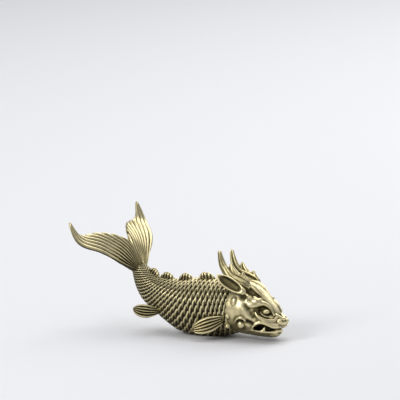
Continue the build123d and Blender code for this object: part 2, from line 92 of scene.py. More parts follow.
# Raised lines of one side of the head: reach, distance from the middle, height and radius
HEAD_LINES = {
    "forehead_ridge": [
        (2.2, 1.9, 6.0, 0.6), (3.8, 1.85, 5.65, 0.8), (5.2, 1.75, 5.0, 0.8), (6.5, 1.65, 4.1, 0.66),
        (7.5, 1.55, 3.25, 0.44), (8.3, 1.4, 2.5, 0.18),
    ],
    "brow": [
        (5.0, 4.4, 2.3, 0.4), (5.3, 4.4, 1.5, 0.72), (6.0, 4.2, 1.1, 1.0), (6.9, 3.7, 1.2, 1.08),
        (7.8, 3.2, 1.45, 0.86), (8.7, 2.75, 1.55, 0.66), (9.5, 2.4, 1.2, 0.5), (10.2, 2.15, 0.6, 0.4),
        (10.8, 2.0, -0.2, 0.32), (11.2, 1.9, -1.0, 0.24),
    ],
    "lower_lid": [
        (8.5, 3.8, -0.3, 0.12), (9.0, 3.75, -0.95, 0.2), (9.9, 3.45, -1.35, 0.24),
        (10.6, 3.05, -1.35, 0.2), (11.0, 2.75, -0.95, 0.12),
    ],
    "muzzle_ridge": [
        (7.6, 4.6, -0.5, 0.2), (8.1, 4.55, -1.3, 0.36), (9.0, 4.25, -1.85, 0.44),
        (10.0, 3.75, -2.2, 0.44), (11.0, 3.2, -2.3, 0.4), (11.9, 2.6, -2.1, 0.38),
        (12.1, 2.2, -1.6, 0.38),
    ],
    "muzzle": [
        (8.4, 4.15, -2.15, 0.5), (9.5, 3.7, -2.5, 0.7), (10.8, 2.95, -2.9, 0.8),
        (11.9, 2.1, -3.0, 0.8), (12.3, 1.0, -2.9, 0.75), (12.3, 0.0, -2.85, 0.75),
    ],
    "upper_lip": [
        (7.0, 4.75, -4.2, 0.22), (7.6, 4.62, -3.5, 0.34), (8.5, 4.32, -2.95, 0.4),
        (9.6, 3.95, -2.9, 0.42), (10.6, 3.5, -3.25, 0.42), (11.5, 3.0, -3.65, 0.42),
        (12.0, 2.4, -3.75, 0.42), (12.3, 1.6, -3.65, 0.42), (12.3, 0.8, -3.55, 0.42),
        (12.3, 0.0, -3.5, 0.42),
    ],
    "cheek_arch": [
        (2.7, 5.55, -3.2, 0.18), (3.2, 5.65, -2.5, 0.28), (4.1, 5.65, -2.1, 0.34), (4.9, 5.45, -2.3, 0.28),
        (5.4, 5.25, -2.9, 0.18),
    ],
    "nose_bridge": [
        (11.5, 1.3, -1.0, 0.38), (12.2, 0.95, -1.5, 0.48), (12.6, 0.5, -1.8, 0.5),
        (12.7, 0.0, -1.85, 0.5),
    ],
}

# Fine flutes down the forehead: how many on one side, their spacing, reach of both ends, radius and standing
FLUTES = 4
FLUTE_SPACING = 0.56
FLUTE_REACH = (5.0, 11.4)
FLUTE_RADIUS = 0.27
FLUTE_STANDING = 0.06
FLUTE_POINTS = 12

# Round bumps of one side of the head: reach, distance from the middle, height, then radii along the same axes
HEAD_BUMPS = [
    (12.7, 1.75, -2.45, 0.66, 0.66, 0.66), (12.0, 2.25, -1.6, 0.45, 0.4, 0.4),
    (3.9, 4.68, -3.75, 1.0, 0.85, 0.95), (0.5, 5.4, -2.0, 0.7, 0.5, 0.75),
    (0.1, 4.6, -4.5, 0.75, 0.6, 0.65), (2.1, 5.4, 1.3, 0.75, 0.55, 1.35),
    (6.6, 3.45, 1.75, 1.9, 1.15, 1.25), (5.3, 3.95, 2.55, 0.62, 0.55, 0.62),
    (6.55, 3.6, 2.75, 0.58, 0.5, 0.52), (7.75, 3.0, 2.45, 0.55, 0.5, 0.45),
    (3.0, 4.05, -0.4, 2.9, 1.84, 3.4), (12.05, 1.2, -4.0, 0.4, 0.5, 0.3),
]

# Hollows pressed into one side of the head: reach, distance from the middle, height, radius and depth
HEAD_HOLLOWS = [
    (9.8, 3.45, -0.25, 1.45, 1.1), (8.6, 3.95, 0.15, 0.8, 0.5), (10.8, 2.5, 0.1, 0.85, 0.7),
    (4.5, 3.4, 4.6, 0.85, 0.55), (5.5, 3.2, 4.2, 0.85, 0.65), (6.6, 2.9, 3.7, 0.8, 0.65),
    (7.4, 2.5, 3.2, 0.65, 0.5), (4.2, 4.6, 2.9, 0.75, 0.35), (4.0, 5.5, -3.0, 0.85, 0.8),
    (5.9, 5.1, -2.9, 0.6, 0.4), (6.7, 4.9, -3.2, 0.55, 0.45), (5.4, 5.3, 1.0, 0.6, 0.3),
    (6.0, 5.15, 0.1, 0.65, 0.42), (6.7, 5.0, -0.8, 0.6, 0.42), (7.3, 4.85, -1.55, 0.55, 0.35),
    (7.5, 4.7, -0.05, 0.65, 0.35), (12.1, 2.4, -2.5, 0.6, 0.45),
]

# Eye: centre on one side of the head, the way it looks, its radius, its share of height, and its sunk pupil
EYE_PLACE = (9.70, 3.20, -0.32)
EYE_AIM = (0.35, 0.92, 0.12)
EYE_RADIUS = 0.86
EYE_HEIGHT = 0.72
PUPIL_DEPTH = 0.06
PUPIL_SPAN = 0.36

# Lower lip, fang and chin of one side of the jaw
JAW_LINES = {
    "lower_lip": [
        (7.6, 4.4, -4.95, 0.18), (9.3, 3.75, -5.1, 0.26), (10.4, 3.1, -5.1, 0.3),
        (11.1, 2.4, -5.0, 0.36), (11.5, 1.5, -4.9, 0.44), (11.6, 0.8, -4.85, 0.46),
        (11.6, 0.0, -4.85, 0.46),
    ],
    "fang": [
        (8.8, 3.4, -5.1, 0.4), (9.4, 3.55, -4.65, 0.37), (9.75, 3.55, -4.15, 0.28),
        (9.7, 3.45, -3.7, 0.12),
    ],
}
JAW_BUMPS = [(11.45, 1.10, -4.90, 0.60, 0.85, 0.72)]

# Antler branches of one side: reach, distance from the middle, height and radius, all on the head
ANTLER_BRANCHES = [
    [
        (4.05, 2.54, 5.2, 0.85), (3.4, 2.58, 6.4, 0.95), (1.55, 2.64, 7.15, 1.12),
        (-0.1, 2.72, 7.5, 1.24), (-1.75, 2.8, 8.25, 1.16), (-3.15, 2.88, 10.2, 0.92),
        (-3.95, 2.95, 12.85, 0.5),
    ],
    [(0.9, 2.68, 7.50, 1.00), (-0.25, 2.71, 8.80, 0.84), (-0.75, 2.71, 10.10, 0.42)],
    [(3.2, 2.60, 6.60, 0.90), (2.55, 2.60, 7.55, 0.76), (2.60, 2.54, 8.45, 0.36)],
    [
        (4.5, 2.7, 5.0, 0.8), (3.3, 3.15, 5.6, 1.05), (1.6, 3.3, 6.05, 1.25),
        (0.0, 3.2, 6.75, 1.25), (-1.4, 2.95, 7.9, 1.15), (-2.4, 2.9, 9.2, 0.95),
    ],
]

# Strands of an antler branch, as shares of its radius: spacing, how far the middle one stands out, and radius
STRAND_SPACING = 0.50
STRAND_BULGE = 0.18
STRAND_RADIUS = 0.50

# Ear on one side of the head: root, way to the tip, way across, and rows of share, width and thickness
EAR_ROOT = (4.05, 5.05, 4.12)
EAR_TIP_AIM = (-0.88, 0.14, 0.46)
EAR_ACROSS = (0.42, -0.30, 0.62)
EAR_LENGTH = 7.6
EAR_SECTIONS = [(0.0, 1.6, 1.30), (0.30, 2.75, 1.25), (0.66, 2.75, 1.0), (1.0, 0.36, 0.4)]
EAR_SAG = 0.06
# Share of the ear that is sunk in the head, and the depth and half width of its hollow
EAR_SUNK = 0.12
EAR_HOLLOW = (1.7, 0.70)

# Paired fins: section number, drop angle, length, width, and way to the tip as back, out and up
FINS = {
    "pectoral_fin": (1.24, -17.5, 7.3, 3.8, (0.88, 0.36, -0.21)),
    "pelvic_fin": (11.4, -36.0, 6.1, 3.2, (0.82, 0.56, -0.13)),
}
FIN_ACROSS = (0.25, -0.35, 0.90)
FIN_SECTIONS = [(0.0, 0.56, 1.1), (0.36, 1.0, 1.0), (0.72, 0.88, 0.8), (1.0, 0.36, 0.45)]
FIN_THICKNESS = 1.1
FIN_STANDOFF = 0.5
FIN_BOW = 0.30

# Dorsal crests: section number and size share of each, then the full size
CRESTS = [(4.8, 1.0), (9.0, 0.92), (12.3, 0.9), (15.5, 0.8)]
CREST_LENGTH = 4.2
CREST_HEIGHT = 1.6
CREST_THICKNESS = 1.3
CREST_ROOT = 0.5

# Rayed blades: share of thickness at the edges, place, width and height of the rim, and depth of the scallops
BLADE_EDGE = 0.35
BLADE_RIM = (0.93, 0.06)
BLADE_RIM_HEIGHT = 0.25
BLADE_SCALLOP = 0.08

# Tail: turn and roll, share of the rays that end at the inner edge, and how much the grooves fade to the tip
TAIL_TURN = np.radians(18.0)
TAIL_ROLL = np.radians(-3.0)
TAIL_FAN = 0.72
FAN_FADING = 0.75
# Tail lobe: reach, height and half span, way from outer to inner edge, width and thickness
LOBE_ROWS = [
    (0.0, 0.0, 0.97, 0.0, 0.0, 1.0, 2.2, 2.6), (0.95, 1.95, 1.95, 0.06, 0.4, 0.91, 5.5, 2.0),
    (2.18, 4.45, 3.25, 0.14, 0.5, 0.85, 7.5, 1.65), (5.62, 7.0, 8.15, 0.58, 0.46, 0.68, 7.4, 1.28),
    (8.01, 7.65, 12.0, 0.32, 0.24, 0.91, 4.1, 1.13), (9.4, 10.25, 13.1, 0.3, 0.2, 0.93, 1.87, 0.9),
    (10.25, 12.5, 13.4, 0.3, 0.2, 0.93, 0.72, 0.6),
]

# Sampling of the surfaces: along and around, and the grain of the cast pieces
BODY_GRID = (500, 190)
HEAD_GRID = (150, 200)
LOBE_GRID = (170, 150)
FIN_GRID = (90, 84)
CREST_GRID = (60, 40)
EAR_GRID = (90, 60)
ROD_GRID = (36, 14)
HEAD_GRAIN = 0.105
ANTLER_GRAIN = 0.07
CAST_SMOOTHING = 12

# Relief of the cast pieces: on plain ground, then the weight and scale of near and of far forms, the far ones
# also painting shade into broad recesses
PLAIN_RELIEF = 0.64
NEAR_RELIEF = (0.24, 0.035)
FAR_RELIEF = (0.32, 0.16)
# Rounds of smoothing that tell near and far forms apart, on the cast pieces and on the eyes
CAST_ROUNDS = (8, 90)
EYE_ROUNDS = (4, 20)
# Relief lost as painted shade in the hollows of the head and inside its mouth, gained as painted light by what
# faces up and lost as painted shade by what faces down
HOLLOW_PAINTED_SHADE = 0.34
MOUTH_PAINTED_SHADE = 0.6
PAINTED_LIGHT_ABOVE = 0.08
PAINTED_SHADE_BELOW = 0.32
LEAST_RELIEF = 0.03
# Wear added to the relief of each group of pieces
WEAR = {"Body brass": 0.0, "Head brass": 0.04, "Eye brass": 0.12, "Horn brass": -0.10, "Fin brass": 0.05}

# Stage: half side and roughness of the floor, sky, camera's aim to the right and up, and the lamps
FLOOR_HALF = 3.0
FLOOR_ROUGHNESS = 0.8
SKY_COLOUR = (0.92, 0.94, 1.0, 1.0)
SKY_STRENGTH = 0.40
CAMERA_AIM = (-0.00168, 0.0322)
# Each lamp's place, size and power
LAMPS = {
    "overhead": ((-0.03, 0.14, 0.60), 0.50, 1.3),
    "left": ((-0.32, -0.55, 0.38), 0.30, 2.1),
    "behind": ((0.12, 0.59, 0.42), 0.50, 1.7),
}


def colour(name, description, default):
    """A colour setting."""
    return FloatVectorProperty(name=name, description=description, subtype="COLOR", default=default)


class BodySettings(PropertyGroup):
    """Sizes of the scales."""

    scale_rows: IntProperty(
        name="Scale rows", description="Rows of scales round the body", default=14, min=8, max=40
    )
    scale_pitch: FloatProperty(
        name="Scale pitch",
        description="Distance between scales along the thickest part of the body, in millimetres",
        default=0.68,
        min=0.5,
        max=4.0,
    )
    scale_lift: FloatProperty(
        name="Scale lift", description="Height gained towards the free edge, in millimetres", default=0.42
    )
    scale_rim: FloatProperty(
        name="Scale rim", description="Height of the raised rim of a scale, in millimetres", default=0.10
    )


class FinSettings(PropertyGroup):
    """Rays of the tail, the paired fins and the crests."""

    tail_rays: IntProperty(name="Tail rays", description="Rays at a lobe's root", default=10, min=2, max=16)
    fin_rays: IntProperty(name="Fin rays", description="Rays on a paired fin", default=5, min=2, max=10)
    crest_rays: IntProperty(name="Crest rays", description="Rays on a dorsal crest", default=5, min=2, max=10)
    ray_depth: FloatProperty(
        name="Ray depth",
        description="Depth of the grooves as a share of the thickness",
        default=0.72,
        subtype="FACTOR",
    )


class BrassSettings(PropertyGroup):
    """Colours of the aged brass."""

    # The relief mixes these colours, so worn brass also paints the highlights on upper faces and scale halves,
    # and patina also paints the shade in hollows, in the mouth and on what faces down
    worn: colour("Worn brass", "High points rubbed bright", (0.76, 0.665, 0.385))
    toned: colour("Toned brass", "Surfaces between", (0.185, 0.155, 0.070))
    patina: colour("Patina", "Dark film in the recesses", (0.022, 0.017, 0.008))


class StageSettings(PropertyGroup):
    """Camera, floor and light."""

    azimuth: FloatProperty(
        name="Azimuth", description="Turn of the camera from the fish's right side", default=18.0
    )
    elevation: FloatProperty(name="Elevation", description="Height angle of the camera", default=11.5)
    distance: FloatProperty(name="Distance", description="From the camera", default=1.20, unit="LENGTH")
    view_width: FloatProperty(
        name="View width", description="Width seen at the figurine", default=0.096, unit="LENGTH"
    )
    floor_colour: colour("Floor", "Colour of the floor", (0.87, 0.87, 0.88))


def unit(vectors):
    """Each vector divided by its own length."""
    return vectors / np.linalg.norm(vectors, axis=-1, keepdims=True)


def refine(rows, rounds=4):
    """Rows put between a table's own: nine sixteenths of the near two less a sixteenth of the far two."""
    rows = np.asarray(rows, float)
    for _ in range(rounds):
        padded = np.vstack([rows[:1], rows, rows[-1:]])
        between = (9 * (padded[1:-2] + padded[2:-1]) - padded[:-3] - padded[3:]) / 16
        finer = np.empty((2 * len(rows) - 1, rows.shape[1]))
        finer[0::2] = rows
        finer[1::2] = between
        rows = finer
    return rows


def resample(rows, count):
    """A refined table at equal distances along the line that its first three columns draw."""
    rows = refine(rows)
    steps = np.linalg.norm(np.diff(rows[:, :3], axis=0), axis=1)
    distance = np.concatenate([[0.0], np.cumsum(steps)])
    wanted = np.linspace(0.0, distance[-1], count)
    return np.stack([np.interp(wanted, distance, column) for column in rows.T], axis=1)


def line_aims(points):
    """The direction of a line at each of its points."""
    return unit(np.gradient(points, axis=0))


def square_to(vectors, aims):
    """What is left of each vector after its part along the aim is taken away, at length one."""
    return unit(vectors - aims * np.sum(vectors * aims, axis=-1, keepdims=True))


def smooth_step(values, low, high):
    """Zero below low, one above high, and a soft rise between."""
    share = np.clip((values - low) / (high - low), 0.0, 1.0)
    return share * share * (3.0 - 2.0 * share)


def shell(points):
    """Vertices and faces of a tube given as a grid of rings, with a middle vertex closing each end."""
    rows, columns = points.shape[:2]
    corners = np.arange(rows * columns).reshape(rows, columns)
    beside = np.roll(corners, -1, axis=1)
    quads = np.stack([corners[:-1], beside[:-1], beside[1:], corners[1:]], axis=-1).reshape(-1, 4)
    first = np.full(columns, rows * columns)
    start = np.stack([beside[0], corners[0], first], axis=-1)
    end = np.stack([corners[-1], beside[-1], first + 1], axis=-1)
    middles = [points[0].mean(axis=0), points[-1].mean(axis=0)]
    vertices = np.vstack([points.reshape(-1, 3), middles])
    a, b, c, d = (vertices[quads[:, k]] for k in range(4))
    volume = np.sum(a * (np.cross(b, c) + np.cross(c, d)))
    if volume < 0:
        quads, start, end = quads[:, ::-1], start[:, ::-1], end[:, ::-1]
    return vertices, quads.tolist() + start.tolist() + end.tolist()


def join(shells):
    """Several shells as one list of vertices and one of faces."""
    vertices, faces, count = [], [], 0
    for points, polygons in shells:
        vertices.append(points)
        faces += [[corner + count for corner in polygon] for polygon in polygons]
        count += len(points)
    return np.vstack(vertices), faces


def circle(count):
    """Angles once round, in one row."""
    return np.linspace(0.0, 2 * np.pi, count, endpoint=False)[None, :]


def rod(rows):
    """A round rod: circles of each row's radius, square to the line of the rows, with a dome on both ends."""
    count, sides = ROD_GRID
    rows = resample(rows, count)
    aims = line_aims(rows[:, :3])
    bend = np.radians([[25.0], [50.0], [75.0]])
    first, last = (
        np.hstack([row[:3] + way * row[3] * np.sin(bend), row[3] * np.cos(bend)])
        for row, way in ((rows[0], -aims[0]), (rows[-1], aims[-1]))
    )
    rows = np.vstack([first[::-1], rows, last])
    aims = np.vstack([aims[[0, 0, 0]], aims, aims[[-1, -1, -1]]])
    across = square_to(np.broadcast_to([0.31, 0.52, 0.80], aims.shape), aims)
    other = np.cross(aims, across)
    turn = circle(sides)[..., None]
    rings = across[:, None] * np.cos(turn) + other[:, None] * np.sin(turn)
    return shell(rows[:, None, :3] + rings * rows[:, 3][:, None, None])


def ball(centre, radii):
    """An ellipsoid: rings of latitude scaled by three radii."""
    latitude = np.radians(np.linspace(-88.0, 88.0, 16))[:, None]
    longitude = circle(22)
    rings = [
        np.cos(latitude) * np.cos(longitude),
        np.cos(latitude) * np.sin(longitude),
        np.sin(latitude) * np.ones_like(longitude),
    ]
    return shell(np.asarray(centre) + np.stack(rings, axis=-1) * np.asarray(radii))


def head_axes():
    """Forward, left and up of the head, turned about the upright and rolled about forward."""
    forward = np.array([np.cos(HEAD_TURN), -np.sin(HEAD_TURN), 0.0])
    level = np.cross(UP, forward)
    left = level * np.cos(HEAD_ROLL) - UP * np.sin(HEAD_ROLL)
    return np.stack([forward, left, np.cross(forward, left)])


def head_to_frame(places):
    """Places given as forward, left and up on the head, in the frame of the solids."""
    return NECK + np.asarray(places) @ head_axes()


def on_side(rows, side):
    """Rows of one side of the head, put on the left or mirrored to the right."""
    rows = np.array(rows, float)
    rows[:, 1] *= side
    return rows


def tail_axes():
    """Backward, right and up of the tail, turned about the upright and rolled about backward."""
    backward = np.array([-np.cos(TAIL_TURN), np.sin(TAIL_TURN), 0.0])
    level = np.cross(UP, backward)
    right = level * np.cos(TAIL_ROLL) + UP * np.sin(TAIL_ROLL)
    return np.stack([backward, right, np.cross(backward, right)])


def body_place(number):
    """Middle, backward direction, width and height of the body at one of the solid's numbered sections."""
    rows = refine(BODY_STATIONS, 1)
    numbers = np.arange(len(rows))
    row = np.array([np.interp(number, numbers, column) for column in rows.T])
    aims = line_aims(rows[:, :3])
    backward = unit(np.array([np.interp(number, numbers, column) for column in aims.T]))
    return row[:3], backward, row[3], row[4]


def scale_relief(along, around, settings):
    """Height of overlapping scales over the plain body, nearness to a free edge, and place across the scale.

    Along counts columns of scales and around counts rows, with every other column half a row round. The free
    edge of a scale is half an ellipse from its two corners back to its tip. A point that the edge encloses is
    on that scale, and any other is on the scale behind, with a short slope between. Height rises to the free
    edge, with a rim along it.
    """
    rim_place, rim_width = SCALE_RIM

    def scale(column):
        row = around + 0.5 * np.mod(column, 2)
        across = row - np.floor(row) - 0.5
        edge = np.sqrt(np.clip(1.0 - 4.0 * across**2, 0.0, 1.0))
        inward = edge - (along - column)
        uneven = 1.0 + SCALE_UNEVENNESS * np.sin(12.9898 * (column + 31.0 * np.floor(row)))
        rise = settings.scale_lift * uneven * (0.5 - 0.5 * np.clip(inward, 0.0, 2.0))
        rim = settings.scale_rim * np.exp(-(((inward - rim_place) / rim_width) ** 2))
        return inward, rise + rim, across

    column = np.floor(along)
    own_inward, own_height, own_across = scale(column)
    behind_inward, behind_height, behind_across = scale(column + 1)
    cover = smooth_step(own_inward, *SCALE_SLOPE)
    height = behind_height + (own_height - behind_height) * cover
    covered = own_inward > -0.02
    inward = np.where(covered, own_inward, behind_inward)
    across = np.where(covered, own_across, behind_across)
    shine = 1.0 - smooth_step(inward, *SCALE_SHINE)
    return height - 0.35 * settings.scale_lift, shine, across


def body_points(settings):
    """Carp body: ovals along the spine, raised along their normals by the scales and cut flat at the belly.

    With the points comes the relief that colours the scales: low in the gaps, high along the free edges for
    wear, and higher on their upper halves as a painted highlight.
    """
    count, sides = BODY_GRID
    rows = resample([BODY_FRONT, *BODY_STATIONS], count)
    aims = line_aims(rows[:, :3])
    side = unit(np.cross(UP, aims))
    rise = np.cross(aims, side)
    turn = circle(sides)
    half_width = rows[:, 3, None] / 2
    half_height = rows[:, 4, None] / 2
    across = (half_width * np.cos(turn))[..., None]
    upward = (half_height * np.sin(turn))[..., None]
    points = rows[:, None, :3] + side[:, None] * across + rise[:, None] * upward
    sideways = side[:, None] * (across / half_width[..., None] ** 2)
    normals = unit(sideways + rise[:, None] * (upward / half_height[..., None] ** 2))
    girth = rows[:, 4] / rows[:, 4].max()
    steps = np.linalg.norm(np.gradient(rows[:, :3], axis=0), axis=1)
    along = np.cumsum(steps / (settings.scale_pitch * girth**0.75))[:, None]
    around = settings.scale_rows * turn / (2 * np.pi)
    height, shine, place = scale_relief(along, around + 0.0 * along, settings)
    height = height * (0.35 + 0.65 * girth[:, None])
    points = points + normals * height[..., None]
    points[..., 2] = np.maximum(points[..., 2], 0.0)
    # The upper halves of the scales get a painted highlight
    gap, thick, edge, upper = SCALE_RELIEF
    return points, gap + thick * girth[:, None] + edge * shine * (1.0 + upper * place * np.cos(turn))


def both_faces(low, count):
    """Places from low to one over a front face and back over the rear one, and a sign to tell them apart.

    The two faces share their edge places, which are given once.
    """
    there = np.linspace(low, 1.0, count)
    place = np.concatenate([there, there[-2:0:-1]])
    face = np.concatenate([np.ones(count), -np.ones(count - 2)])
    return place[None, :], face[None, :]


def blade_points(line, across, widths, thicknesses, count, rays, depth, fan):
    """Rayed blade: a lens of given width and thickness carried along a line, and the relief for its wear.

    Across the lens, both faces rise and fall as a wave with one crest to each ray. A rim stands along both
    edges where the rays run on to the tip. Where they fan out instead, fewer of them are left at each step, the
    others end at the inner edge, which they scallop, the grooves fade towards the tip, and the relief rises.
    """
    aims = line_aims(line)
    flat = square_to(across, aims)
    proud = np.cross(aims, flat)
    place, face = both_faces(-1.0, count)
    share = np.linspace(0.0, 1.0, len(line))[:, None]
    spread = 0.5 * (place + 1.0) * (1.0 - fan * smooth_step(share, 0.0, 0.95))
    ridge = 0.5 - 0.5 * np.cos(2 * np.pi * rays * spread)
    rim_place, rim_width = BLADE_RIM
    rim = np.exp(-(((np.abs(place) - rim_place) / rim_width) ** 2)) * (1.0 - fan)
    crown = BLADE_EDGE + (1.0 - BLADE_EDGE) * np.sqrt(np.clip(1.0 - place**2, 0.0, 1.0))
    depth = depth * (1.0 - FAN_FADING * fan * smooth_step(share, 0.25, 0.85))
    proud_share = crown * (1.0 - depth + depth * ridge) + BLADE_RIM_HEIGHT * rim
    closing = np.sqrt(np.clip(1.0 - np.abs(place) ** 24, 0.0, 1.0))
    offset = face * proud_share * closing * thicknesses[:, None] / 2
    scallop = 1.0 + BLADE_SCALLOP * fan * ridge * smooth_step(place, 0.6, 1.0)
    sideways = place * scallop * widths[:, None] / 2
    points = line[:, None] + flat[:, None] * sideways[..., None] + proud[:, None] * offset[..., None]
    relief = 0.20 - 0.16 * fan + 0.76 * ridge**0.7 + 0.3 * rim + 0.85 * fan * (share - 0.25)
    return points, relief.clip(0.0, 1.0)


def tip_rounding(count, start):
    """Share of the width along a blade: one up to the start, and then a round end."""
    share = np.linspace(0.0, 1.0, count)
    return np.sqrt(1.0 - 0.93 * np.clip((share - start) / (1.0 - start), 0.0, 1.0) ** 2)


def evened(rows, reach):
    """Rows averaged with their neighbours on both sides, twice, so that no corner is left."""
    window = np.ones(2 * reach + 1) / (2 * reach + 1)
    for _ in range(2):
        padded = np.pad(rows, ((reach, reach), (0, 0)), mode="reflect", reflect_type="odd")
        rows = np.stack([np.convolve(column, window, "valid") for column in padded.T], axis=1)
    return rows


def lobe_points(side, settings):
    """One tail lobe: a rayed blade along a line that rises from the tail root, spreads and curls up."""
    rows = evened(resample(LOBE_ROWS, LOBE_GRID[0]), 13)
    axes = tail_axes()
    root = np.array(BODY_STATIONS[-1][:3])
    line = root + np.stack([rows[:, 0], -side * rows[:, 2], rows[:, 1]], axis=1) @ axes
    across = np.stack([rows[:, 3], side * rows[:, 5], rows[:, 4]], axis=1) @ axes
    widths = rows[:, 6] * tip_rounding(len(rows), 0.95)
    return blade_points(
        line, across, widths, rows[:, 7], LOBE_GRID[1], settings.tail_rays, settings.ray_depth, TAIL_FAN
    )


def fin_points(name, side, settings):
    """One paired fin: a rayed leaf that leaves the flank squarely and bends back towards its tip."""
    number, drop, length, width, tip = FINS[name]
    middle, backward, body_width, body_height = body_place(number)
    left = unit(np.cross(backward, UP))
    rise = np.cross(left, backward)
    turn = np.radians(drop)
    root = middle + left * (side * body_width / 2 * np.cos(turn)) + rise * (body_height / 2 * np.sin(turn))
    outward = unit(left * (side * body_height * np.cos(turn)) + rise * (body_width * np.sin(turn)))
    out = np.cross(backward, UP) * side
    tip_aim = backward * tip[0] + out * tip[1] + UP * tip[2]
    across = -backward * FIN_ACROSS[0] + out * FIN_ACROSS[1] + UP * FIN_ACROSS[2]
    rows = refine(FIN_SECTIONS)
    shares = np.linspace(0.0, 1.0, FIN_GRID[0])
    widths, thicknesses = (np.interp(shares, rows[:, 0], rows[:, k]) for k in (1, 2))
    widths = widths * tip_rounding(FIN_GRID[0], 0.84)
    bow = (shares * (1.0 - shares) * FIN_BOW)[:, None]
    line = root + outward * FIN_STANDOFF + (tip_aim * shares[:, None] + outward * bow) * length
    line = np.vstack([root - outward * FIN_STANDOFF, line])
    widths = np.concatenate([widths[:1], widths])
    thicknesses = np.concatenate([thicknesses[:1], thicknesses])
    across = np.broadcast_to(across, line.shape)
    widths, thicknesses = widths * width, thicknesses * FIN_THICKNESS
    rays, depth = settings.fin_rays, settings.ray_depth
    return blade_points(line, across, widths, thicknesses, FIN_GRID[1], rays, depth, 0.0)


def crest_points(number, size, settings):
    """One dorsal crest: upright strips side by side, thick at each ray, under a hump that leans back."""
    middle, backward, _, height = body_place(number)
    rise = unit(np.cross(np.cross(backward, UP), backward))
    side = np.cross(backward, rise)
    along_count, up_count = CREST_GRID
    share = np.linspace(-1.0, 1.0, along_count)[:, None]
    level, face = both_faces(0.0, up_count)
    ray = np.abs(np.sin(np.pi * settings.crest_rays * (share + 1.0) / 2.0)) ** 0.6
    hump = np.clip(1.0 - np.abs(share) ** 2.2, 0.0, 1.0) ** 0.75 * (0.86 + 0.14 * ray)
    top = CREST_HEIGHT * size * hump + CREST_ROOT
    upward = top * level - CREST_ROOT
    thick = CREST_THICKNESS * size / 2 * (0.62 + 0.38 * ray) * np.sqrt(np.clip(1.0 - level**3, 0.0, 1.0))
    backwards = -share * CREST_LENGTH * size / 2 + 0.30 * np.maximum(upward, 0.0) * (1.0 - np.abs(share))
    root = middle + rise * (height / 2)
    points = root + backward * backwards[..., None] + rise * upward[..., None]
    points = points + side * (face * thick)[..., None]
    return points, (0.12 + 0.45 * ray**2 + 0.35 * smooth_step(level, 0.55, 0.95)) * np.ones_like(upward)


def ear_points(side):
    """One ear: a pointed leaf swept back from the head, its outer face hollowed between two rolled rims."""
    axes = head_axes()
    mirror = np.array([1.0, side, 1.0])
    root = head_to_frame(np.array(EAR_ROOT) * mirror)
    tip_aim = (np.array(EAR_TIP_AIM) * mirror) @ axes
    across = (np.array(EAR_ACROSS) * mirror) @ axes
    rows = refine(EAR_SECTIONS)
    shares = np.linspace(-EAR_SUNK, 1.0, EAR_GRID[0])
    inside = np.clip(shares, 0.0, 1.0)
    rounding = np.sqrt(np.clip(1.0 - np.clip(-shares / EAR_SUNK, 0.0, 1.0) ** 2, 0.02, 1.0))
    widths = np.interp(inside, rows[:, 0], rows[:, 1]) * rounding
    thicknesses = np.interp(inside, rows[:, 0], rows[:, 2]) * rounding
    sag = unit(across) * (EAR_SAG * np.sin(np.pi * inside))[:, None]
    line = root + tip_aim * (shares * EAR_LENGTH)[:, None] - sag
    aims = line_aims(line)
    flat = square_to(np.broadcast_to(across, line.shape), aims)
    proud = np.cross(aims, flat) * side
    turn = circle(2 * EAR_GRID[1])
    place = np.cos(turn)
    outer = np.sin(turn) > 0
    depth, half = EAR_HOLLOW
    deep = depth * smooth_step(shares, 0.0, 0.25) * (1.0 - smooth_step(shares, 0.70, 1.0))
    hollow = deep[:, None] * np.exp(-((place / half) ** 4))
    upward = np.where(outer, np.abs(np.sin(turn)) ** 0.6 * (1.0 - hollow), -np.abs(np.sin(turn)) ** 0.8)
    sideways = place * widths[:, None] / 2
    offset = upward * thicknesses[:, None] / 2
    points = line[:, None] + flat[:, None] * sideways[..., None] + proud[:, None] * offset[..., None]
    # Relief: high on the outer face's rims, with painted shade in its hollow and over the back face, which
    # lightens towards its edges
    return points, np.where(outer, 0.94 - 0.46 * np.minimum(hollow, 1.0), 0.56 + 0.30 * np.abs(place) ** 6)


def head_section(reach):
    """Top, bottom, half width and fullness of the plain head at a reach."""
    rows = refine(HEAD_SECTIONS)
    return [np.interp(reach, rows[:, 0], rows[:, k]) for k in range(1, 5)]


def head_form():
    """Plain head: boxed ovals from the neck to the snout, on the head's own axes."""
    count, sides = HEAD_GRID
    reach = np.linspace(HEAD_SECTIONS[0][0], HEAD_SECTIONS[-1][0], count)
    top, bottom, half, fullness = (column[:, None] for column in head_section(reach))
    turn = circle(sides)
    fullness = fullness + CROWN_ROUNDING * (np.sin(turn) > 0)
    across = half * np.sign(np.cos(turn)) * np.abs(np.cos(turn)) ** fullness
    rise = np.sign(np.sin(turn)) * np.abs(np.sin(turn)) ** fullness
    upward = (top + bottom) / 2 + (top - bottom) / 2 * rise
    return np.stack([np.broadcast_to(reach[:, None], across.shape), across, upward], axis=-1)


def hollow_depth(points):
    """Depth of all hollows at points on the head: a bell of its own depth and radius for each."""
    folded = points * [1.0, 0.0, 1.0] + np.abs(points) * [0.0, 1.0, 0.0]
    depth = np.zeros(points.shape[:-1])
    for *place, radius, deep in HEAD_HOLLOWS:
        depth += deep * np.exp(-np.sum((folded - place) ** 2, axis=-1) / radius**2)
    return depth


# Mask for the painted shade inside the open mouth
def mouth_depth(points):
    """One inside the open mouth and zero outside: behind the lips, over the jaw and under the palate."""
    reach, out, height = points[..., 0], np.abs(points[..., 1]), points[..., 2]
    lip = np.interp(reach, *MOUTH_LIPS)
    behind = smooth_step(lip - out, 0.35, 0.80) * (reach > 7.0) * (1.0 - smooth_step(reach, 10.9, 11.4))
    return behind * smooth_step(height, -5.3, -5.0) * (1.0 - smooth_step(height, -3.5, -3.0))


